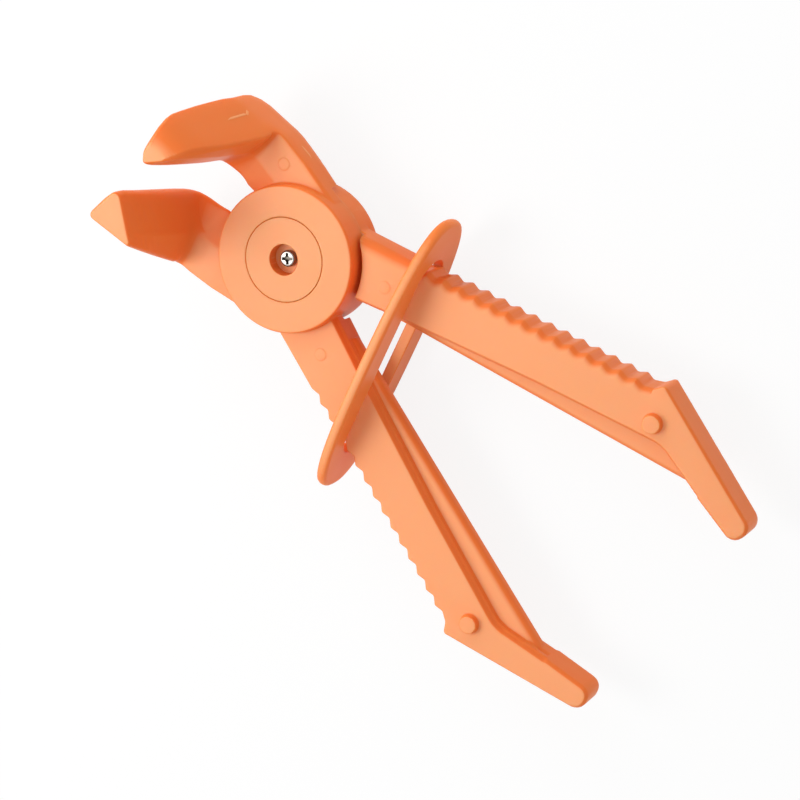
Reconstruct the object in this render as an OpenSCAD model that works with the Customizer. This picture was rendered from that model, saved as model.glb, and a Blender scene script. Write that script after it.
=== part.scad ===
// Line pinch-off pliers with right-angled jaws, a lap-joint hub and an oval locking ring.
// Millimetres. The origin is the centre of the rear hub face, on the pivot axis.
// +X runs from the pivot towards the jaws, +Z is the pivot axis, and the jaws rise along +Z.
// The front arm has its jaw at -Y and its handle at +Y. The rear arm has them the other way round.

/* [Part to draw] */
// Name of the node to draw, or all

/* [Hub] */
// Radius of each hub disc
hub_r = 25; // [20:0.5:30]
// Thickness of both discs together
hub_h = 22.4; // [18:0.2:28]
// Radius of the concave clearance around the other arm's disc
relief_r = 26.6; // [25.6:0.1:28]
// Radius of the flush pivot caps
cap_r = 14.2; // [12:0.1:17]
// Thickness of a pivot cap's plate
cap_h = 5.7; // [4:0.1:7]
// Radius of the counterbore over the screw
counterbore_r = 5.3; // [4:0.1:5.5]
// Depth of the counterbore
counterbore_h = 4.5; // [2:0.1:5]

/* [Handles] */
// Thickness of the arms outside the hub
arm_t = 13.3; // [10:0.1:16]
// Angle between each handle's toothed edge and the X axis, in degrees
spread = 17.43; // [12:0.1:24]
// Distance of the tooth valleys' line from the pivot
tooth_line = 16.3; // [14:0.1:18]
// Distance from tooth to tooth
tooth_pitch = 5.99; // [4:0.01:8]
// Height of a tooth
tooth_h = 1.3; // [0.8:0.1:2]
// Number of teeth on a handle
teeth = 14; // [6:1:20]
// Thickness of the thin web along the inner edge
web_t = 5; // [3:0.1:7]
// Radius of the round peg on a handle's face
peg_r = 3.1; // [2:0.1:4]
// Height of the peg
peg_h = 2.4; // [1:0.1:3]

/* [Jaws] */
// Height of a jaw's end above the middle plane
jaw_h = 49.8; // [35:0.1:60]
// Radius of the turn from the neck up to the jaw, at the far side
jaw_turn_r = 8; // [4:0.5:12]

/* [Locking ring] */
// Half the length of the oval
ring_a = 51.7; // [45:0.1:58]
// Half the width of the oval
ring_b = 19.6; // [15:0.1:25]
// Thickness of the plate
ring_t = 3.8; // [2.5:0.1:6]
// Half the length of the slot
slot_a = 37.6; // [30:0.1:45]
// Half the width of the slot
slot_b = 8.6; // [7:0.1:12]
// Turn of the ring about Z as it rests askew on the teeth, in degrees
ring_yaw = 13.6; // [0:0.1:20]

/* [Spring] */
// Wire of the torsion spring
wire_d = 1.2; // [0.8:0.1:1.5]
// Mean radius of the coils
coil_r = 8.6; // [7.5:0.1:9.5]
// Number of coils
coils = 3; // [2:1:4]

/* [Hidden] */
$fn = 96;
mid = hub_h / 2;
half = arm_t / 2;
gap = 0.05;             // half of the gap between the two discs
run = 0.1;              // radial clearance of the caps in the arms
sleeve_r = 6;           // bearing sleeve on each cap
pocket_r = 11;          // spring pocket
pocket_h = 3.3;         // its depth in each disc
leg_reach = 17;         // end of each spring leg, from the pivot
screw_r = 1.5;
nut_af = 5.5;
nut_h = 2.4;
nut_depth = 3.2;        // depth of the nut's pocket from the middle plane
screw_end = 5;          // end of the screw behind the middle plane
orange = [0.96, 0.60, 0.40];
steel = [0.75, 0.75, 0.77];

// ---- outlines ----------------------------------------------------------------

function unit(v) = v / norm(v);
function wrap(a) = a > 180 ? a - 360 : a < -180 ? a + 360 : a;

// The arc that rounds corner b, between neighbours a and c, in n steps.
function corner_arc(a, b, c, r, n) =
    let (u = unit(a - b),
         v = unit(c - b),
         h = acos(max(-1, min(1, u * v))) / 2,
         centre = b + unit(u + v) * r / sin(h),
         s = b + u * r / tan(h) - centre,
         e = b + v * r / tan(h) - centre,
         a0 = atan2(s.y, s.x),
         sweep = wrap(atan2(e.y, e.x) - a0))
    [for (i = [0 : n]) centre + r * [cos(a0 + sweep * i / n), sin(a0 + sweep * i / n)]];

// A closed outline from corners [x, y, radius].
function rounded(corners, n) =
    [for (i = [0 : len(corners) - 1])
        let (k = len(corners),
             a = corners[(i + k - 1) % k],
             b = corners[i],
             c = corners[(i + 1) % k])
        each (b[2] > 0
            ? corner_arc([a.x, a.y], [b.x, b.y], [c.x, c.y], b[2], n)
            : [[b.x, b.y]])];

// A closed skin through sections with equal numbers of points.
module loft(sections) {
    n = len(sections[0]);
    m = len(sections);
    sides = [for (j = [0 : m - 2], i = [0 : n - 1])
        let (p = j * n + i, q = j * n + (i + 1) % n)
        each [[p, p + n, q + n], [p, q + n, q]]];
    first = [for (i = [0 : n - 1]) i];
    last = [for (i = [n - 1 : -1 : 0]) (m - 1) * n + i];
    polyhedron([for (s = sections) each s], concat([first], sides, [last]), convexity = 6);
}

// ---- handle (drawn on the +Y side, about the middle plane) --------------------

// A point at distance s along the toothed edge from the foot of the pivot, and n away from it.
function edge_point(s, n) = [-s * cos(spread) + n * sin(spread), s * sin(spread) + n * cos(spread)];
function tooth_profile(t) = tooth_h * (0.5 - 0.5 * asin(0.94 * cos(360 * t)) / asin(0.94));

last_valley = 127.95;
first_valley = last_valley - teeth * tooth_pitch;

tooth_points = [for (i = [0 : teeth * 10])
    edge_point(first_valley + i * tooth_pitch / 10, tooth_line + tooth_profile(i / 10))];

tail_corners = [
    [-120.3, 55.9, 1.2],
    [-122.4, 59.6, 1.8],
    [-173.7, 44.1, 4.1],
    [-171.4, 36.1, 3.9],
    [-153.5, 39.2, 14],
    [-134.0, 43.2, 14],
    [-90.9, 28.9, 60],
    [-48.6, 13.6, 60]];

function handle_corners() = concat(
    [[edge_point(0, tooth_line + tooth_h).x, edge_point(0, tooth_line + tooth_h).y, 0]],
    [[edge_point(first_valley - 3, tooth_line + tooth_h).x,
      edge_point(first_valley - 3, tooth_line + tooth_h).y, 0]],
    [for (p = tooth_points) [p.x, p.y, 0]],
    tail_corners,
    [[-23.9, 4.1, 0], [-20, 2.6, 0]]);

handle_outline = rounded(handle_corners(), 8);

web_outline = rounded([[-33.2, 6.7, 0], [-46, 10.5, 0], [-152.5, 40.6, 1.5], [-140, 46, 0],
                       [-33.2, 11, 0]], 6);

// The stretch of the outline whose edges are rounded: round the tail and up the inner wall.
soft_first = len(tooth_points) + 2 + 14;
soft_last = len(handle_outline) - 2;

function soft_radius(t) = t < 0.12 ? 0.4 + 7 * t : t < 0.4 ? 1.24 : min(2.3, 1.24 + 6 * (t - 0.4));

// What rounding an edge by r takes away, as [outwards, upwards] from the square edge.
function cut_profile(r) = [[0.5 * r + 1, 0.5 * r + 1], [0.067 * r, -1.25 * r], [-0.134 * r, -0.5 * r],
                           [-0.5 * r, -0.134 * r], [-1.25 * r, 0.067 * r]];

function edge_cut_section(i) =
    let (p = handle_outline[i],
         d = unit(handle_outline[i + 1] - handle_outline[i - 1]),
         out = [-d.y, d.x],
         t = (i - soft_first) / (soft_last - soft_first))
    [for (q = cut_profile(soft_radius(t))) [p.x + out.x * q.x, p.y + out.y * q.x, half + q.y]];

module edge_cut() {
    loft([for (i = [soft_last : -1 : soft_first]) edge_cut_section(i)]);
}

// The outer edge between the hub and the first tooth, rounded by soft at the hub.
module hub_edge_cut(soft) {
    loft([for (k = [[6, soft], [first_valley - 9, soft], [first_valley - 3, 0.5], [first_valley, 0.3]])
        let (r = k[1])
        [for (q = cut_profile(r))
            let (p = edge_point(k[0], tooth_line + tooth_h + q.x))
            [p.x, p.y, half + q.y]]]);
}

// peg is the centre of the round peg, and soft the rounding of the front outer edge at the hub.
module handle(peg, soft) {
    difference() {
        translate([0, 0, -half]) linear_extrude(arm_t) polygon(handle_outline);
        edge_cut();
        mirror([0, 0, 1]) edge_cut();
        hub_edge_cut(soft);
        mirror([0, 0, 1]) hub_edge_cut(0.6);
    }
    translate([0, 0, -web_t / 2]) linear_extrude(web_t) polygon(web_outline);
    translate([peg.x, peg.y, half - 1]) cylinder(r = peg_r, h = peg_h + 1, $fn = 48);
}

// ---- neck and jaw (drawn on the +Y side, about the middle plane) --------------

turn_x = 28.9;          // axis of the turn, parallel to Y
turn_z = 9.6;
turn_in = turn_z - half;
far_x = 49.3;           // far side of the jaw at its foot

function at(x, table) = lookup(x, table);

// Ray length from the turn's axis to the far side, which is a square corner rounded by jaw_turn_r.
function far_ray(a) =
    let (drop = turn_z + half,
         run_x = far_x - turn_x,
         cx = run_x - jaw_turn_r,
         cz = jaw_turn_r - drop,
         b = cx * cos(a) + cz * sin(a))
    a < atan2(-drop, cx) ? -drop / sin(a)
    : a > atan2(cz, run_x) ? run_x / cos(a)
    : b + sqrt(b * b - cx * cx - cz * cz + jaw_turn_r * jaw_turn_r);

// Section corners: outer front, front shoulder, nose, far shoulder, outer far.
function place(points, x, z, dx, dz) = [for (p = points) [x + dx * p.x, p.y, z + dz * p.x]];

function neck_section(x, side) =
    let (outer = at(x, [[0, 25.3], [6, 26.4], [10.9, 27.5], [16, 28.7], [25, 30], [29, 30.3]])
             + (side > 0 ? 0 : 0.4),
         front_r = side > 0 ? 1.6 : 0.9,
         rear_r = at(x, [[0, 3.2], [16, 2.6], [25, 1.6]]),
         shoulder = at(x, [[0, 12.8], [19, 15.8], [29.5, 17.5]]))
    place(rounded([[0, outer, front_r], [0, shoulder, 3], [5.7, 4.7, 1], [arm_t, shoulder, 3],
                   [arm_t, outer, rear_r]], 4), x, half, 0, -1);

function turn_section(a, side) =
    let (t = (a + 90) / 90,
         outer = side > 0 ? 30.3 - 0.9 * t : 30.7 - 1.2 * t + 0.5 * sin(180 * t),
         front_r = side > 0 ? 1.6 : 0.9,
         far = far_ray(a) - turn_in,
         nose = at(a, [[-90, 8.7], [-76, 8.9], [-56, 9.6], [-38, 10.9], [-27, 11.9], [-18, 12.3],
                       [0, 12.6]]),
         nose_y = at(a, [[-90, 4.8], [-76, 5.5], [-56, 6.2], [-38, 6.6], [-18, 6.8], [0, 6.3]]))
    place(rounded([[-2.4 * t, outer, front_r], [0.3 * t, 17.4 + 1.2 * t, 2.4],
                   [nose - turn_in, nose_y - 0.4 * t, 0.9 + 1.6 * t],
                   [far - 0.4 * t, 17.4 - 4.2 * t, 3 + 2.5 * t],
                   [far, outer, 1.6 + 0.9 * t]], 4),
          turn_x + turn_in * cos(a), turn_z + turn_in * sin(a), cos(a), sin(a));

far_side = [[9.6, 49.3], [18, 50.4], [25, 51.3], [31.8, 51.8], [38, 52.1], [45, 52.2], [50, 51.4]];

// The front arm's jaw: its end is blended into its outer wall and far side.
function front_jaw(z) =
    let (blend = at(z, [[39, 0], [42, 0.4], [44.5, 1], [46.2, 1.7], [47.6, 2.6], [49, 3.8], [50, 5]]),
         back = 31.7 - 0.24 * z - blend,
         a = at(z, [[9.6, 29.5], [14.6, 29.3], [20.4, 30.4], [30.2, 32.1], [36.2, 33.4], [48, 36]])
             + 0.8 * blend,
         a_r = at(z, [[30, 1.5], [42, 2.1], [46, 1.7], [50, 1.1]]),
         b = at(z, [[9.6, 32.2], [28, 34.1], [45, 36.8]]) + 0.8 * blend,
         b_y = at(z, [[9.6, 18.6], [28, 17.4], [45, 17]]) - blend,
         c = at(z, [[9.6, 41.5], [14, 42.2], [26.5, 43.6], [42.4, 45.2], [49, 46]]),
         c_y = at(z, [[9.6, 5.7], [14, 5.2], [20, 4.9], [38, 4.9], [44, 5.4], [50, 6.2]]) + 0.1 * blend,
         c_r = at(z, [[9.6, 2.5], [38, 2.5], [46, 1.2], [50, 0.9]]),
         d_y = 13.2 - at(z, [[40, 0], [45, 1.7], [48, 3.2]]),
         d_r = 5.5 - at(z, [[34, 0], [42, 1.9]]),
         e = at(z, far_side) - at(z, [[38, 0], [41, 0.5], [45, 1.8], [48, 2.6], [50, 3]]))
    [[a, back, a_r], [b, b_y, 2.4], [c, c_y, c_r], [e - 0.4, d_y, d_r], [e, back, 1.6]];

// The rear arm's jaw: its walls run straight to a flat end with crisp edges.
function rear_jaw(z) =
    let (back = 31.4 - 0.225 * z,
         a = at(z, [[9.6, 29.1], [14.6, 28.9], [20.4, 30], [26.5, 31.1], [50, 31.6]]),
         a_y = at(z, [[9.6, 29.5], [26.5, 25.4], [50, 17.6]]),
         b = at(z, [[9.6, 32.2], [26.5, 33.8], [50, 35.8]]),
         b_y = at(z, [[9.6, 18.4], [26.5, 17.2], [50, 14.6]]),
         c = at(z, [[9.6, 41.5], [14, 42.2], [26.5, 43.7], [38, 45.4], [50, 47.9]]),
         c_y = at(z, [[9.6, 5.9], [14, 5.7], [26.5, 5.4], [40, 5.2], [50, 4.9]]),
         c_r = at(z, [[9.6, 2.5], [14, 2.9], [30, 2.9], [50, 2.2]]),
         d = at(z, [[9.6, 48.9], [18, 50], [25, 50.9], [38, 51.6], [44, 50.9], [50, 49.2]]),
         d_y = at(z, [[38, 13.2], [44, 12], [50, 11.6]]),
         e = at(z, far_side) - at(z, [[36, 0], [50, 0.6]]))
    [[a, a_y, 0.9], [b, b_y, 2.4], [c, c_y, c_r], [d, d_y, 5], [e, back, 1.6]];

function jaw_section(z, side) = rounded(side > 0 ? front_jaw(z) : rear_jaw(z), 4);

// A section shrunk about its middle m, for the rounded edge of the jaw's end.
function jaw_end_section(z, scale, m, side) =
    [for (p = jaw_section(z, side)) [m.x + scale * (p.x - m.x), m.y + scale * (p.y - m.y), z]];

module neck_and_jaw(side) {
    middle = side > 0 ? [44, 12] : [42, 13];
    ends = side > 0
        ? [[47.6, 0.985], [49, 0.93], [jaw_h, 0.83]]
        : [[48.6, 1], [49.3, 0.98], [jaw_h, 0.94]];
    loft(concat(
        [for (x = [0, 6, 10.9, 16, 25]) neck_section(x, side)],
        [for (a = [-90 : 10 : 0]) turn_section(a, side)],
        [for (z = [14, 20, 27, 34, 38, 41, 44.5, 46.2]) [for (p = jaw_section(z, side)) [p.x, p.y, z]]],
        [for (k = ends) jaw_end_section(k[0], k[1], middle, side)]));
}

// ---- arms --------------------------------------------------------------------

// A disc from z = 0 to z = h whose upper rim is rounded by e.
module soft_disc(r, h, e) {
    rotate_extrude() {
        square([r, h - e]);
        square([r - e, h]);
        translate([r - e, h - e]) circle(r = e, $fn = 32);
    }
}

// Pockets of a front disc: bearing bore, cap recess, spring pocket and the slot for a spring leg.
module hub_pockets(leg_angle) {
    translate([0, 0, -1]) cylinder(r = sleeve_r + 0.08, h = hub_h);
    translate([0, 0, mid - cap_h - 0.05]) cylinder(r = cap_r + run, h = cap_h + 1);
    translate([0, 0, -1]) cylinder(r = pocket_r, h = pocket_h + 1);
    rotate(leg_angle) translate([0, -4.2, -1]) cube([leg_reach + 1.5, 8.4, pocket_h + 1]);
}

// A low round ejector mark on an arm's face.
module mark(x, y) {
    translate([x, y, half - 1]) cylinder(r = 2.1, h = 1.25, $fn = 32);
}

// side is 1 for the front arm and -1 for the rear arm.
module arm(side, leg_angle, peg, soft) {
    flip = side > 0 ? 0 : 1;
    difference() {
        union() {
            difference() {
                union() {
                    mirror([0, side > 0 ? 1 : 0, 0]) neck_and_jaw(side);
                    mirror([0, flip, 0]) handle(peg, soft);
                }
                mirror([0, 0, flip]) translate([0, 0, gap - 30]) cylinder(r = relief_r, h = 30);
            }
            mirror([0, 0, flip]) translate([0, 0, gap]) soft_disc(hub_r, mid - gap, 0.8);
        }
        mirror([0, 0, flip]) hub_pockets(leg_angle);
    }
}

module front_arm() {
    color(orange) translate([0, 0, mid]) {
        arm(1, 160, [-126.8, 49.5], 0.6);
        mark(21.4, -23);
        mark(-29, 17.5);
    }
}

module rear_arm() {
    color(orange) translate([0, 0, mid]) {
        arm(-1, 200, [-127.5, 47.6], 1.8);
        mark(-31.7, -16.4);
    }
}

// ---- pivot -------------------------------------------------------------------

// A cap from its inner end up to the hub face, with the bearing sleeve below its plate.
module cap_body() {
    translate([0, 0, mid - cap_h]) cylinder(r = cap_r, h = cap_h);
    translate([0, 0, 0.1]) cylinder(r = sleeve_r, h = mid - cap_h);
}

module front_cap() {
    color(orange) translate([0, 0, mid]) difference() {
        cap_body();
        translate([0, 0, mid - counterbore_h]) cylinder(r = counterbore_r, h = counterbore_h + 1);
        translate([0, 0, -1]) cylinder(r = screw_r + 0.1, h = mid + 2, $fn = 48);
    }
}

// The rear cap is plain outside, and holds the nut in a hexagonal pocket at its inner end.
module rear_cap() {
    color(orange) translate([0, 0, mid]) mirror([0, 0, 1]) difference() {
        cap_body();
        translate([0, 0, -1]) cylinder(r = nut_af / 2 / cos(30) + 0.05, h = nut_depth + 1, $fn = 6);
        translate([0, 0, -1]) cylinder(r = screw_r + 0.1, h = screw_end + 1.6, $fn = 48);
    }
}

module pivot_screw() {
    seat = mid - counterbore_h + 0.02;
    color(steel) translate([0, 0, mid]) difference() {
        union() {
            translate([0, 0, seat]) soft_disc(2.8, 1.9, 0.7);
            translate([0, 0, -screw_end]) cylinder(r = screw_r, h = screw_end + seat + 0.1, $fn = 48);
        }
        for (a = [0, 90])
            rotate(a + 42) translate([-1.95, -0.5, seat + 0.6]) cube([3.9, 1, 3]);
        translate([0, 0, seat + 0.6]) cylinder(r1 = 0.7, r2 = 1.1, h = 1.4, $fn = 32);
    }
}

module pivot_nut() {
    color(steel) translate([0, 0, mid - nut_depth + 0.05]) difference() {
        cylinder(r = nut_af / 2 / cos(30), h = nut_h, $fn = 6);
        translate([0, 0, -1]) cylinder(r = screw_r + 0.03, h = nut_h + 2, $fn = 48);
    }
}

// ---- torsion spring ----------------------------------------------------------

coil_rise = 1.66;
echo(spring_gap = coil_rise - wire_d);
leg_bend = 160;         // direction of the upper leg; the lower one is at 200 degrees
coil_turn = 360 * coils - 40;
function coil_point(a) = [coil_r * cos(a), coil_r * sin(a), coil_rise * (a - leg_bend) / 360];

spring_path = let (top = leg_bend, low = leg_bend - coil_turn, z0 = coil_rise * coil_turn / 720)
    concat(
        [for (r = [leg_reach, 11]) [r * cos(top), r * sin(top), z0]],
        [[9.3 * cos(top - 4), 9.3 * sin(top - 4), z0]],
        [for (i = [1 : floor(coil_turn / 45) - 1]) coil_point(top - 45 * i) + [0, 0, z0]],
        [[9.3 * cos(low + 4), 9.3 * sin(low + 4), -z0]],
        [for (r = [11, leg_reach]) [r * cos(low), r * sin(low), -z0]]);

function ring_at(p, d, r) =
    let (side = unit(cross([0, 0, 1], d)), up = cross(d, side))
    [for (a = [0 : 60 : 300]) p + r * (cos(a) * side + sin(a) * up)];

module torsion_spring() {
    n = len(spring_path);
    color(steel) translate([0, 0, mid]) loft([for (i = [0 : n - 1])
        let (d = unit(spring_path[min(i + 1, n - 1)] - spring_path[max(i - 1, 0)]))
        ring_at(spring_path[i], d, wire_d / 2)]);
}

// ---- locking ring --------------------------------------------------------------

function oval(a, b, n) =
    [for (i = [0 : n - 1])
        let (c = cos(360 * i / n), s = sin(360 * i / n))
        [a * sign(c) * pow(abs(c), 2 / 2.6), b * sign(s) * pow(abs(s), 2 / 2.6)]];

// The plate lies in its own XY plane, and is then stood across the handles.
module ring_plate() {
    e = 1.4;
    layers = [[0, e], [0.29 * e, 0.29 * e], [e, 0],
              [ring_t - e, 0], [ring_t - 0.29 * e, 0.29 * e], [ring_t, e]];
    difference() {
        translate([0, 0, -ring_t / 2])
            loft([for (k = layers) [for (p = oval(ring_a - k[1], ring_b - k[1], 72)) [p.x, p.y, k[0]]]]);
        translate([0.1, 0, -ring_t]) linear_extrude(2 * ring_t) {
            square([2 * (slot_a - slot_b), 2 * slot_b], center = true);
            for (k = [-1, 1])
                translate([k * (slot_a - slot_b), 0]) circle(r = slot_b);
        }
    }
}

module locking_ring() {
    color(orange) translate([-45.7, 3, mid])
        rotate([0, 0, 90 + ring_yaw]) rotate([90, 0, 0]) ring_plate();
}

front_arm();
rear_arm();
front_cap();
rear_cap();
pivot_screw();
pivot_nut();
torsion_spring();
locking_ring();
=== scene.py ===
"""Orange spring clamp with right-angled jaws: looks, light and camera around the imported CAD."""
import math
import bmesh
import bpy
import numpy
from mathutils import Matrix, Vector
from mathutils.bvhtree import BVHTree


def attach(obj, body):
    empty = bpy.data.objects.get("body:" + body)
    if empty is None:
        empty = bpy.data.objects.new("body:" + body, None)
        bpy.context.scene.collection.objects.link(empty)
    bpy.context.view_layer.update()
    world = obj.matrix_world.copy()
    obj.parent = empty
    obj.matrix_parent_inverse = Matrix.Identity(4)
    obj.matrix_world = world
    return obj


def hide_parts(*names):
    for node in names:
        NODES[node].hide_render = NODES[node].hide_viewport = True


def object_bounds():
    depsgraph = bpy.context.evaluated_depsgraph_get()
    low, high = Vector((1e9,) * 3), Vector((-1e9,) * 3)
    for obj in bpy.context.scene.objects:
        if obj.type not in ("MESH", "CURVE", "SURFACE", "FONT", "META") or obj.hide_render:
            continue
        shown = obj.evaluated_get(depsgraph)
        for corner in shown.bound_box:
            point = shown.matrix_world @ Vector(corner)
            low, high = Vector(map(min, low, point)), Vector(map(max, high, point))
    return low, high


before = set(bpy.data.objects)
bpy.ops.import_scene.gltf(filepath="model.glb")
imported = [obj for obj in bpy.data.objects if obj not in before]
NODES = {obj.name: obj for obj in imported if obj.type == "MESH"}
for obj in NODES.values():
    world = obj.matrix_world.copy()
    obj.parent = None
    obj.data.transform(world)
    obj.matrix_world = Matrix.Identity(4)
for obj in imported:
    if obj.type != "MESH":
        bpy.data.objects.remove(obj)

bpy.context.view_layer.update()
CAD_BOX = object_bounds()
MM = 0.001
SCENE = bpy.context.scene


def shown(name, data):
    """A new object with this data, linked into the scene."""
    piece = bpy.data.objects.new(name, data)
    SCENE.collection.objects.link(piece)
    return piece


# ---- camera -------------------------------------------------------------------

LENS = 107.3
SENSOR = 36.0
CLIP = (0.05, 20.0)
CAMERA_PLACE = Vector((-0.20103, -0.32605, 0.72003))
CAMERA_BACK = Vector((-0.1785, -0.4235, 0.8881)).normalized()
CAMERA_UP = CAMERA_BACK.cross(Vector((-0.7005, -0.5791, -0.4170)).normalized()).normalized()
CAMERA_RIGHT = CAMERA_UP.cross(CAMERA_BACK)

camera = shown("camera", bpy.data.cameras.new("camera"))
camera.data.lens = LENS
camera.data.sensor_width = SENSOR
camera.data.clip_start, camera.data.clip_end = CLIP
camera.matrix_world = Matrix.Translation(CAMERA_PLACE) @ Matrix(
    (CAMERA_RIGHT, CAMERA_UP, CAMERA_BACK)).transposed().to_4x4()
SCENE.camera = camera

# ---- materials ----------------------------------------------------------------

NOISE_SPAN = (0.3, 0.7)             # the part of a noise's range that a ramp spreads out
MIX_A, MIX_B, MIX_OUT = 6, 7, 2     # the colour sockets of a mix node

WALL_SHADE_TO_FACE_SHEEN = (0.70, 0.93)         # |normal z| of the last wall tone (painted shade) and of the first face tone (painted sheen)
MOTTLE_SHIFT = -0.12                # how far the mottling moves that change from painted shade to painted sheen
EDGE_SPAN = (0.515, 0.56)           # pointiness where an edge starts to turn paler, and where it is fully paler
EDGE_PATCH_SPAN = (0.45, 0.7)
MOST_EDGE_PALING = 0.45
NYLON_ROUGH = (0.36, 0.46)
NYLON_SPECULAR = 0.15
NYLON_TINT = (1.0, 0.96, 0.92, 1.0)
SCATTER_RADIUS = (1.0, 0.45, 0.2)
SCATTER_SCALE = 3.5 * MM
NYLON_GRAIN = (0.12, 0.03 * MM)     # strength and height
NYLON_SINK = (0.10, 0.4 * MM)
SCRATCH = (0.15, 0.02 * MM)
SCRATCH_RUN = (1.0, 0.15, 1.0)      # drawn out along y


class Nodes:
    """A short hand for building one node material."""

    def __init__(self, name):
        self.material = bpy.data.materials.new(name)
        self.material.use_nodes = True
        self.tree = self.material.node_tree
        self.tree.nodes.clear()
        self.output = self.add("ShaderNodeOutputMaterial")
        self.shader = self.add("ShaderNodeBsdfPrincipled")
        self.link(self.shader, "BSDF", self.output, "Surface")
        self.place = self.add("ShaderNodeTexCoord")

    def add(self, kind, **values):
        """A new node; each value is set on its attribute or, failing that, on its input socket."""
        node = self.tree.nodes.new(kind)
        for key, value in values.items():
            if hasattr(node, key):
                setattr(node, key, value)
            else:
                node.inputs[key.replace("_", " ")].default_value = value
        return node

    def link(self, a, out, b, into):
        self.tree.links.new(a.outputs[out], b.inputs[into])

    def noise(self, scale, detail=3.0, rough=0.5, stretch=None):
        node = self.add("ShaderNodeTexNoise", Scale=scale, Detail=detail, Roughness=rough)
        if stretch:
            turn = self.add("ShaderNodeMapping")
            turn.inputs["Scale"].default_value = stretch
            self.link(self.place, "Object", turn, "Vector")
            self.link(turn, "Vector", node, "Vector")
        else:
            self.link(self.place, "Object", node, "Vector")
        return node

    def ramp(self, source, out, span, ends):
        """Goes from one of two greys or colours to the other while the source crosses the span."""
        node = self.add("ShaderNodeValToRGB")
        self.link(source, out, node, "Fac")
        for element, at, value in zip(node.color_ramp.elements, span, ends):
            element.position = at
            element.color = value if isinstance(value, tuple) else (value, value, value, 1.0)
        return node

    def bump(self, layers):
        """Stacks (source, output, strength, height in metres) into the shader's normal."""
        last = None
        for source, out, strength, height in layers:
            node = self.add("ShaderNodeBump", Strength=strength, Distance=height)
            self.link(source, out, node, "Height")
            if last:
                self.link(last, "Normal", node, "Normal")
            last = node
        self.link(last, "Normal", self.shader, "Normal")


def linear(r, g, b):
    """A colour from sRGB values of 0 to 255."""
    def one(v):
        v /= 255.0
        return v / 12.92 if v <= 0.04045 else ((v + 0.055) / 1.055) ** 2.4
    return (one(r), one(g), one(b), 1.0)


def nylon(name, wall, face, edge_tone, depth=0.5):
    """Satin moulded nylon: painted sheen makes the flat faces pale and painted shade makes the
    walls deep orange; slight mottling, fine grain, edges paler in patches, some depth.
    """
    m = Nodes(name)
    axes = m.add("ShaderNodeSeparateXYZ")
    m.link(m.place, "Normal", axes, "Vector")
    flat = m.add("ShaderNodeMath", operation="ABSOLUTE")
    m.link(axes, "Z", flat, 0)
    mottle = m.noise(26.0, 4.0, 0.55)
    cloud = m.add("ShaderNodeMath", operation="MULTIPLY_ADD")
    m.link(mottle, "Fac", cloud, 0)
    cloud.inputs[1].default_value = MOTTLE_SHIFT
    m.link(flat, "Value", cloud, 2)
    # painted light: the tone goes from the wall colour (painted shade) to the pale face colour
    # (painted sheen) as the normal turns upward
    tone = m.ramp(cloud, "Value", WALL_SHADE_TO_FACE_SHEEN, (wall, face))
    geometry = m.add("ShaderNodeNewGeometry")
    # sharp convex edges go over to the pale edge tone, in patches
    edge = m.ramp(geometry, "Pointiness", EDGE_SPAN, (0.0, 1.0))
    edge_patches = m.noise(180.0, 5.0, 0.7)
    patchy = m.ramp(edge_patches, "Fac", EDGE_PATCH_SPAN, (0.0, 1.0))
    edge_paling = m.add("ShaderNodeMath", operation="MULTIPLY")
    m.link(edge, "Color", edge_paling, 0)
    m.link(patchy, "Color", edge_paling, 1)
    amount = m.add("ShaderNodeMath", operation="MULTIPLY")
    m.link(edge_paling, "Value", amount, 0)
    amount.inputs[1].default_value = MOST_EDGE_PALING
    mix = m.add("ShaderNodeMix", data_type="RGBA")
    m.link(amount, "Value", mix, "Factor")
    m.link(tone, "Color", mix, MIX_A)
    mix.inputs[MIX_B].default_value = edge_tone
    m.link(mix, MIX_OUT, m.shader, "Base Color")
    smear = m.noise(60.0, 3.0, 0.5)
    rough = m.ramp(smear, "Fac", NOISE_SPAN, NYLON_ROUGH)
    m.link(rough, "Color", m.shader, "Roughness")
    grain = m.noise(2600.0, 2.0, 0.5)
    sink = m.noise(70.0, 2.0, 0.5)
    m.bump([(grain, "Fac", *NYLON_GRAIN), (sink, "Fac", *NYLON_SINK)])
    m.shader.inputs["Subsurface Weight"].default_value = depth
    m.shader.inputs["Subsurface Radius"].default_value = SCATTER_RADIUS
    m.shader.inputs["Subsurface Scale"].default_value = SCATTER_SCALE
    m.shader.inputs["Specular IOR Level"].default_value = NYLON_SPECULAR
    m.shader.inputs["Specular Tint"].default_value = NYLON_TINT
    return m.material


def steel(name, low, high, rough_low, rough_high):
    """Cloudy metal with fine drawn-out scratches."""
    m = Nodes(name)
    cloud = m.noise(900.0, 4.0, 0.6)
    tone = m.ramp(cloud, "Fac", NOISE_SPAN, (low, high))
    m.link(tone, "Color", m.shader, "Base Color")
    smear = m.noise(1500.0, 3.0, 0.5)
    rough = m.ramp(smear, "Fac", NOISE_SPAN, (rough_low, rough_high))
    m.link(rough, "Color", m.shader, "Roughness")
    scratch = m.noise(1800.0, 3.0, 0.6, stretch=SCRATCH_RUN)
    m.bump([(scratch, "Fac", *SCRATCH)])
    m.shader.inputs["Metallic"].default_value = 1.0
    return m.material


# edges turn to this pale tone in patches where pointiness is high
EDGE_PALE_TONE = linear(246, 168, 108)
# each nylon's first colour is its walls' tone with painted shade, the second its flat faces' tone
# with painted sheen
ARM_NYLON = nylon("arm_nylon", linear(240, 125, 58), linear(246, 166, 115), EDGE_PALE_TONE)
# the ring's wall tone is painted lighter than the arms', as painted light on the ring
RING_NYLON = nylon("ring_nylon", linear(247, 134, 66), linear(247, 166, 112), EDGE_PALE_TONE, 0.3)
CAP_NYLON = nylon("cap_nylon", linear(240, 127, 59), linear(246, 167, 116), EDGE_PALE_TONE)
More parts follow.
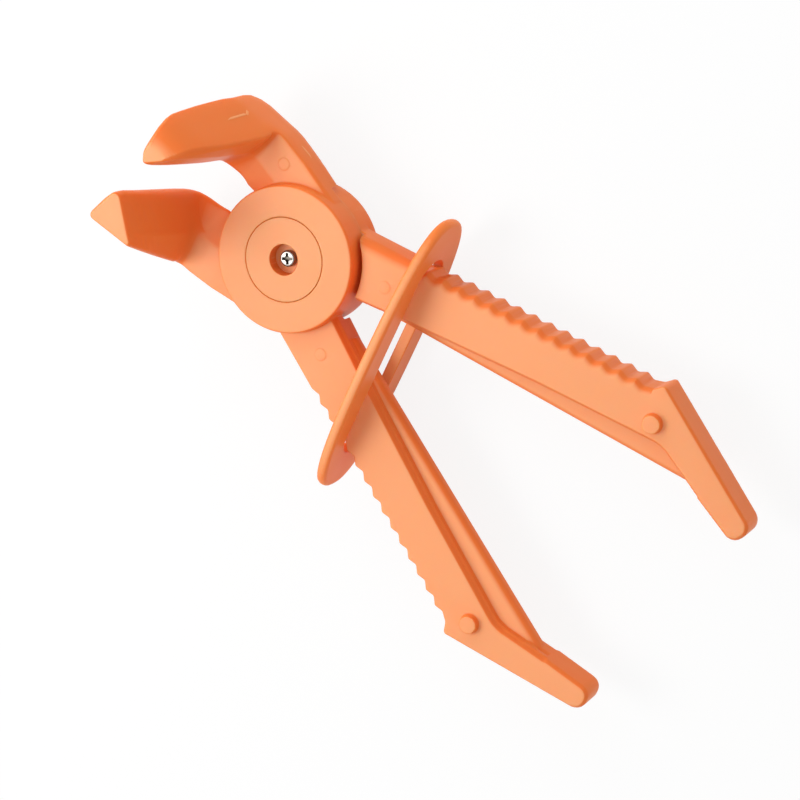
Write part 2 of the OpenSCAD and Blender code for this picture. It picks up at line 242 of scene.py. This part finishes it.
# the moulding lines are painted paler than the wall they sit on, as a painted highlight
LIT_LINE_NYLON = nylon("lit_line_nylon", linear(246, 158, 98), linear(250, 176, 124), EDGE_PALE_TONE, 0.0)
ZINC = steel("zinc_plate", linear(126, 122, 118), linear(150, 146, 141), 0.2, 0.34)
# darker steel for the cross recess, as painted shade inside it
RECESS_SHADE = steel("drive_recess_shade", linear(92, 87, 80), linear(112, 106, 98), 0.4, 0.55)
SPRING = steel("spring_wire", linear(150, 150, 152), linear(186, 186, 188), 0.25, 0.4)

# ---- moulded pieces -----------------------------------------------------------

MID_Z = 11.2 * MM                   # the middle plane of the hub, handles and ring
HALF_ARM = 6.65 * MM                # from it to an arm's flat faces
HUB_R = 25.0 * MM

SPREAD = math.radians(17.43)        # half of the angle between the toothed edges
TOOTH_LINE = 16.3 * MM              # from the pivot to the line through the valleys
TOOTH_H = 1.3 * MM
TOOTH_PITCH = 5.99 * MM
TOOTH_BLUNT = 0.94                  # 1 is a sharp zigzag
LAST_VALLEY = 127.95 * MM
TEETH = 14
TOOTH_STEPS = 24
NECK_RUN = (30 * MM, 3 * MM)        # where the plain edge before the first tooth starts and ends
STEP_FOOT = (131.4 * MM, 1.0 * MM)  # where the edge meets the step before the tail

# radii of the rounded edges, as (distance along the edge, radius) in mm
TOOTH_ROUND = {1: [(0, 0.6)], -1: [(0, 5.0), (20, 4.6), (31, 3.2), (120, 2.8)]}   # by side
WEB_ROUND = [(0, 2.6)]
REAR_ROUND = [(0, 0.7)]
ROUND_SLACK = 0.2 * MM              # how far above its face a point still belongs to it

HALF_WEB = 2.5 * MM
WEB_EDGE = [(-33.2, 6.7), (-46.0, 10.5), (-152.5, 40.6)]    # the web's long edge, in mm

MARK_R = 2.05 * MM                  # raised ejector marks
MARK_H = 0.2 * MM
MARK_FLANK = 0.5 * MM
MARK_REACH = 3.2 * MM
MARK_DEPTH = 0.15 * MM

RIM_BAND = (-0.7 * MM, 0.3 * MM)    # the hub's seam: from the hub's radius, and from MID_Z
RIM_RISE = (-0.1 * MM, 0.5 * MM)

# insert lines: the traces of a mould insert on the front arm's outer wall, as (x, z) in mm
JAW_LINE = [(41.2, 32.3), (40.3, 23.3), (41.8, 21.6)]       # its top, corner and foot
NECK_LINE = [(22.4, 11.7), (17.0, 11.6)]
LINE_CURVE = 0.8                    # how far from the corner its curve starts and ends, in mm
LINE_STEPS = 4
LINE_W = 0.34 * MM
LINE_H = 0.14 * MM
LINE_END = 0.15                     # how much of its section is left at an end
LINE_UP = Vector((-0.3, 0.0, 1.0))  # the side of a line that is steep
LINE_PROFILE = [(-2.2, -1.0), (-2.2, 0.0), (-0.3, 0.9), (0.0, 1.0), (0.6, 0.1), (0.6, -1.0)]


def evaluated(piece):
    """The object's mesh with its modifiers applied."""
    bpy.context.view_layer.update()
    return bpy.data.meshes.new_from_object(
        piece.evaluated_get(bpy.context.evaluated_depsgraph_get()))


def remeshed(node, name, voxel, rounds):
    """A copy of the CAD node with even faces, its sharp edges eased by the smoothing."""
    piece = shown(name, NODES[node].data.copy())
    bm = bmesh.new()
    bm.from_mesh(piece.data)
    bmesh.ops.remove_doubles(bm, verts=bm.verts, dist=1e-6)
    bm.to_mesh(piece.data)
    bm.free()
    remesh = piece.modifiers.new("remesh", "REMESH")
    remesh.mode = "VOXEL"
    remesh.voxel_size = voxel
    soften = piece.modifiers.new("soften", "SMOOTH")
    soften.factor = 0.5
    soften.iterations = rounds
    piece.data = evaluated(piece)
    piece.modifiers.clear()
    return piece


def thinned(piece, material, triangles):
    """Collapses the flat parts of the mesh of four-sided faces and gives it its material."""
    before = len(piece.data.polygons)
    thin = piece.modifiers.new("thin", "DECIMATE")
    thin.ratio = min(1.0, triangles / (2 * before))
    piece.data = evaluated(piece)
    piece.modifiers.clear()
    piece.data.name = piece.name
    piece.data.materials.clear()
    piece.data.materials.append(material)
    piece.data.polygons.foreach_set("use_smooth", [True] * len(piece.data.polygons))
    print("moulded", piece.name, before, len(piece.data.polygons))


def per_vertex(mesh, what):
    """The places ("co") or the normals ("normal") of the mesh's vertices, one row each."""
    values = numpy.empty(3 * len(mesh.vertices))
    mesh.vertices.foreach_get(what, values)
    return values.reshape(-1, 3)


def put_points(mesh, points):
    mesh.vertices.foreach_set("co", points.ravel())
    mesh.update()


def wave(side):
    """The toothed edge as points along it, from near the hub to the foot of the tail's step."""
    start = LAST_VALLEY - TEETH * TOOTH_PITCH
    t = numpy.linspace(0.0, TEETH, TOOTH_STEPS * TEETH + 1)
    swing = numpy.arcsin(TOOTH_BLUNT * numpy.cos(2 * math.pi * t)) / math.asin(TOOTH_BLUNT)
    neck = [start - run for run in NECK_RUN]
    s = numpy.concatenate([neck, start + t * TOOTH_PITCH, [STEP_FOOT[0]]])
    n = TOOTH_LINE + numpy.concatenate(
        [[TOOTH_H, TOOTH_H], TOOTH_H * (0.5 - 0.5 * swing), [STEP_FOOT[1]]])
    x = -s * math.cos(SPREAD) + n * math.sin(SPREAD)
    y = s * math.sin(SPREAD) + n * math.cos(SPREAD)
    return numpy.stack([x, side * y], axis=1)


def round_along(mesh, line, side, top, radii):
    """Rounds the edge between the wall along a line and the face at this height from MID_Z."""
    points = per_vertex(mesh, "co")
    a, b = line[:-1], line[1:]
    step = b - a
    length2 = (step ** 2).sum(axis=1)
    outward = numpy.stack([step[:, 1], -step[:, 0]], axis=1) * side
    outward /= numpy.sqrt(length2)[:, None]
    chord = line[-1] - line[0]
    chord /= math.hypot(*chord)
    along = (points[:, :2] - line[0]) @ chord
    reach = (line[-1] - line[0]) @ chord
    depth = abs(top) - (points[:, 2] - MID_Z) * math.copysign(1.0, top)
    at, size = numpy.array(radii).T * MM
    wanted = numpy.interp(along, at, size)
    near = (depth < wanted) & (depth > -ROUND_SLACK) & (along > 0.0) & (along < reach)
    for index in numpy.where(near)[0]:
        p = points[index, :2]
        radius = wanted[index]
        share = numpy.clip(((p - a) * step).sum(axis=1) / length2, 0.0, 1.0)
        foot = a + share[:, None] * step
        distance = numpy.hypot(*(p - foot).T)
        k = distance.argmin()
        u = radius - max((foot[k] - p) @ outward[k], 0.0)
        v = radius - max(depth[index], 0.0)
        if u <= 0.0 or v <= 0.0 or distance[k] > radius or math.hypot(u, v) <= radius:
            continue
        scale = radius / math.hypot(u, v)
        points[index, :2] -= outward[k] * u * (1.0 - scale)
        points[index, 2] -= math.copysign(v * (1.0 - scale), top)
    put_points(mesh, points)


def relax(mesh, chosen, rounds, hollows=False):
    """Evens out the chosen points among their neighbours, or only fills the hollows among them."""
    points = per_vertex(mesh, "co")
    edges = numpy.empty(2 * len(mesh.edges), dtype=numpy.int64)
    mesh.edges.foreach_get("vertices", edges)
    first, second = edges.reshape(-1, 2).T
    touched = chosen[first] | chosen[second]
    first, second = first[touched], second[touched]
    count = len(points)
    degree = numpy.bincount(first, minlength=count) + numpy.bincount(second, minlength=count)
    degree = numpy.maximum(1, degree)
    normals = per_vertex(mesh, "normal")
    for _ in range(rounds):
        total = numpy.stack([numpy.bincount(first, points[second, k], count) +
                             numpy.bincount(second, points[first, k], count)
                             for k in range(3)], axis=1)
        move = 0.5 * (total / degree[:, None] - points)
        if hollows:
            move[(move * normals).sum(axis=1) < 0.0] = 0.0
        points[chosen] += move[chosen]
    put_points(mesh, points)


def close_seam(mesh, side):
    """Brings the rim of the arm's hub disc to the middle plane, where the two discs meet."""
    points = per_vertex(mesh, "co")
    r = numpy.hypot(points[:, 0], points[:, 1])
    rise = (points[:, 2] - MID_Z) * side
    rim = (r > HUB_R + RIM_BAND[0]) & (r < HUB_R + RIM_BAND[1])
    rim &= (rise > RIM_RISE[0]) & (rise < RIM_RISE[1])
    points[rim, :2] *= (HUB_R / r[rim])[:, None]
    points[rim, 2] = MID_Z
    put_points(mesh, points)


def raise_marks(mesh, marks):
    """Gives each ejector mark a level top and a short even flank."""
    points = per_vertex(mesh, "co")
    top = MID_Z + HALF_ARM
    for x, y in marks:
        r = numpy.hypot(points[:, 0] - x, points[:, 1] - y)
        under = (r < MARK_REACH) & (points[:, 2] > top - MARK_DEPTH)
        share = numpy.clip((MARK_R + 0.5 * MARK_FLANK - r[under]) / MARK_FLANK, 0.0, 1.0)
        points[under, 2] = top + MARK_H * share * share * (3.0 - 2.0 * share)
    put_points(mesh, points)


def straight(start, end):
    """Even steps from the start to just before the end."""
    return [start.lerp(end, i / LINE_STEPS) for i in range(LINE_STEPS)]


def bent(start, corner, end):
    """Steps from start to end past a corner, which a curve rounds off."""
    before = corner + (start - corner).normalized() * LINE_CURVE
    behind = corner + (end - corner).normalized() * LINE_CURVE
    curve = [a.lerp(b, i / LINE_STEPS) for i, (a, b) in enumerate(
        zip(straight(before, corner), straight(corner, behind)))]
    return straight(start, before) + curve + straight(behind, end) + [end]


def on_wall(node, steps):
    """The places and normals at these (x, z) steps on the wall of a CAD node that faces -Y."""
    mesh = NODES[node].data
    skin = BVHTree.FromPolygons([v.co for v in mesh.vertices], [p.vertices for p in mesh.polygons])
    hits = [skin.ray_cast(Vector((x * MM, -1.0, z * MM)), Vector((0.0, 1.0, 0.0)))
            for x, z in steps]
    return [(place, normal) for place, normal, _, _ in hits]


def add_ridge(bm, places):
    """A thin moulding line along places of a wall, steep above and fading out below."""
    last = None
    end = len(places) - 1
    for i, (point, normal) in enumerate(places):
        ahead = places[min(i + 1, end)][0] - places[max(i - 1, 0)][0]
        across = ahead.normalized().cross(normal).normalized()
        if across.dot(LINE_UP) < 0.0:
            across.negate()
        share = LINE_END if i in (0, end) else 1.0
        loop = [bm.verts.new(point + across * w * LINE_W * share + normal * h * LINE_H * share)
                for w, h in LINE_PROFILE]
        if last:
            for k in range(len(loop)):
                j = (k + 1) % len(loop)
                bm.faces.new((last[k], last[j], loop[j], loop[k]))
        else:
            bm.faces.new(loop)
        last = loop
    bm.faces.new(list(reversed(last)))


def add_lines(name, node, lines):
    """Moulding lines on a node's outer wall, as a thin piece of their own."""
    bm = bmesh.new()
    for steps in lines:
        add_ridge(bm, on_wall(node, steps))
    bmesh.ops.recalc_face_normals(bm, faces=bm.faces)
    mesh = bpy.data.meshes.new(name)
    bm.to_mesh(mesh)
    bm.free()
    # the lines' paler nylon is a painted highlight
    mesh.materials.append(LIT_LINE_NYLON)
    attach(shown(name, mesh), node)


def soft_places(name, mesh):
    """The arm's points that are evened out, for how many rounds, and if only hollows are filled."""
    x, _, z = per_vertex(mesh, "co").T / MM
    nx, ny, _ = per_vertex(mesh, "normal").T
    if name == "front_arm":
        outer_wall = (ny < -0.82) & (x > 14.0)
        tip = (z > 48.0) & (abs(nx) < 0.35) & (ny < 0.1)
        return outer_wall | tip, 120, False
    turn = (x > 24.0) & (x < 42.0) & (z > 17.0) & (z < 34.0)
    return turn & (ny < 0.6), 450, True


def arm(name, side, marks):
    """One arm's moulding. Its toothed edge is on this side of the x axis."""
    piece = remeshed(name, name + "_moulding", 0.36 * MM, 4)
    mesh = piece.data
    edge = wave(side)
    round_along(mesh, edge, side, HALF_ARM, TOOTH_ROUND[side])
    round_along(mesh, edge, side, -HALF_ARM, REAR_ROUND)
    web = numpy.array([(x * MM, side * y * MM) for x, y in WEB_EDGE])
    round_along(mesh, web, -side, HALF_WEB, WEB_ROUND)
    round_along(mesh, web, -side, -HALF_WEB, REAR_ROUND)
    relax(mesh, *soft_places(name, mesh))
    close_seam(mesh, side)
    raise_marks(mesh, [(x * MM, y * MM) for x, y in marks])
    thinned(piece, ARM_NYLON, 90000)
    piece.data.set_sharp_from_angle(angle=math.radians(60))
    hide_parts(name)
    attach(piece, name)


arm("front_arm", 1, [(21.4, -23.0), (-29.0, 17.5)])
arm("rear_arm", -1, [(-31.7, -16.4)])

top, corner, foot = [Vector(p) for p in JAW_LINE]
neck_start, neck_end = [Vector(p) for p in NECK_LINE]
add_lines("front_arm_lines", "front_arm", [
    bent(top, corner, foot), straight(neck_start, neck_end) + [neck_end]])

ring = remeshed("locking_ring", "locking_ring_moulding", 0.35 * MM, 2)
thinned(ring, RING_NYLON, 36000)
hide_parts("locking_ring")
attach(ring, "ring")

cap = remeshed("front_cap", "front_cap_moulding", 0.15 * MM, 1)
thinned(cap, CAP_NYLON, 24000)
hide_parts("front_cap")
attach(cap, "pivot")

# ---- pieces that keep their CAD shape -------------------------------------------

CROSS_R = 2.1 * MM                  # the screw's cross recess
CROSS_DEPTH = (0.1 * MM, 2.0 * MM)


def finish_node(node, material):
    for place in NODES[node].material_slots:
        place.material = material


finish_node("rear_cap", CAP_NYLON)
finish_node("pivot_nut", ZINC)
finish_node("torsion_spring", SPRING)

screw = shown("pivot_screw_plated", NODES["pivot_screw"].data.copy())
screw.data.materials.clear()
screw.data.materials.append(ZINC)
screw.data.materials.append(RECESS_SHADE)
head_top = max(v.co.z for v in screw.data.vertices)
# the faces inside the cross recess get the darker steel, which paints shade into the recess
for polygon in screw.data.polygons:
    inside = math.hypot(polygon.center.x, polygon.center.y) < CROSS_R
    sunk = CROSS_DEPTH[0] < head_top - polygon.center.z < CROSS_DEPTH[1]
    polygon.material_index = 1 if inside and sunk else 0
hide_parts("pivot_screw")
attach(screw, "pivot")

# ---- floor and light ----------------------------------------------------------

FLOOR_GAP = 0.2 * MM
HALF_FLOOR = 3.0
FLOOR_GREY = (0.9, 0.9, 0.9, 1.0)
FLOOR_GLOW = 0.87                   # how much of the floor's look is its own white
WHITE = (1.0, 1.0, 1.0, 1.0)
WORLD_LIGHT = 0.62                  # for the rays that only carry light
WORLD_SEEN = 1.0
LAMP_AIM = Vector((-0.05, 0.0, 0.01))


def seen_rays(tree):
    """A node that gives 1 for the camera's, glossy and transmission rays, and 0 for others."""
    path = tree.nodes.new("ShaderNodeLightPath")
    seen = path.outputs["Is Camera Ray"]
    for kind in ("Is Glossy Ray", "Is Transmission Ray"):
        either = tree.nodes.new("ShaderNodeMath")
        either.operation = "MAXIMUM"
        tree.links.new(seen, either.inputs[0])
        tree.links.new(path.outputs[kind], either.inputs[1])
        seen = either.outputs["Value"]
    return either


def floor_material():
    """Pale paper that looks white and keeps a soft shadow."""
    m = Nodes("floor_paper")
    m.tree.nodes.remove(m.shader)
    paper = m.add("ShaderNodeBsdfDiffuse")
    paper.inputs["Color"].default_value = FLOOR_GREY
    glow = m.add("ShaderNodeEmission")
    glow.inputs["Color"].default_value = WHITE
    share = m.add("ShaderNodeMath", operation="MULTIPLY")
    m.link(seen_rays(m.tree), "Value", share, 0)
    share.inputs[1].default_value = FLOOR_GLOW
    blend = m.add("ShaderNodeMixShader")
    m.link(share, "Value", blend, "Fac")
    m.link(paper, "BSDF", blend, 1)
    m.link(glow, "Emission", blend, 2)
    m.link(blend, "Shader", m.output, "Surface")
    return m.material


def lamp(name, direction, distance, size, power):
    """A square softbox in this direction from LAMP_AIM, which it faces."""
    data = bpy.data.lights.new(name, "AREA")
    data.shape = "SQUARE"
    data.size = size
    data.energy = power
    way = Vector(direction).normalized()
    piece = shown(name, data)
    piece.location = LAMP_AIM + way * distance
    piece.rotation_euler = way.to_track_quat("Z", "Y").to_euler()


floor_mesh = bpy.data.meshes.new("floor")
corners = [(-1, -1), (1, -1), (1, 1), (-1, 1)]
floor_mesh.from_pydata([(x * HALF_FLOOR, y * HALF_FLOOR, 0) for x, y in corners], [],
                       [(0, 1, 2, 3)])
floor_mesh.materials.append(floor_material())
floor = shown("floor", floor_mesh)
floor.location.z = CAD_BOX[0].z - FLOOR_GAP

world = bpy.data.worlds.new("world")
world.use_nodes = True
SCENE.world = world
tree = world.node_tree
tree.nodes.clear()
sky_out = tree.nodes.new("ShaderNodeOutputWorld")
sky = tree.nodes.new("ShaderNodeBackground")
pick = tree.nodes.new("ShaderNodeMapRange")
pick.inputs["To Min"].default_value = WORLD_LIGHT
pick.inputs["To Max"].default_value = WORLD_SEEN
sky.inputs["Color"].default_value = WHITE
tree.links.new(seen_rays(tree).outputs["Value"], pick.inputs["Value"])
tree.links.new(pick.outputs["Result"], sky.inputs["Strength"])
tree.links.new(sky.outputs["Background"], sky_out.inputs["Surface"])

MIRROR = Vector((-CAMERA_BACK.x, -CAMERA_BACK.y, CAMERA_BACK.z))
lamp("softbox", MIRROR + Vector((0.32, -0.03, 0.0)), 0.8, 0.4, 3.3)
lamp("fill", (0.95, -0.55, 0.5), 0.8, 0.5, 1.7)

SCENE.view_settings.view_transform = "Standard"

bpy.context.view_layer.update()
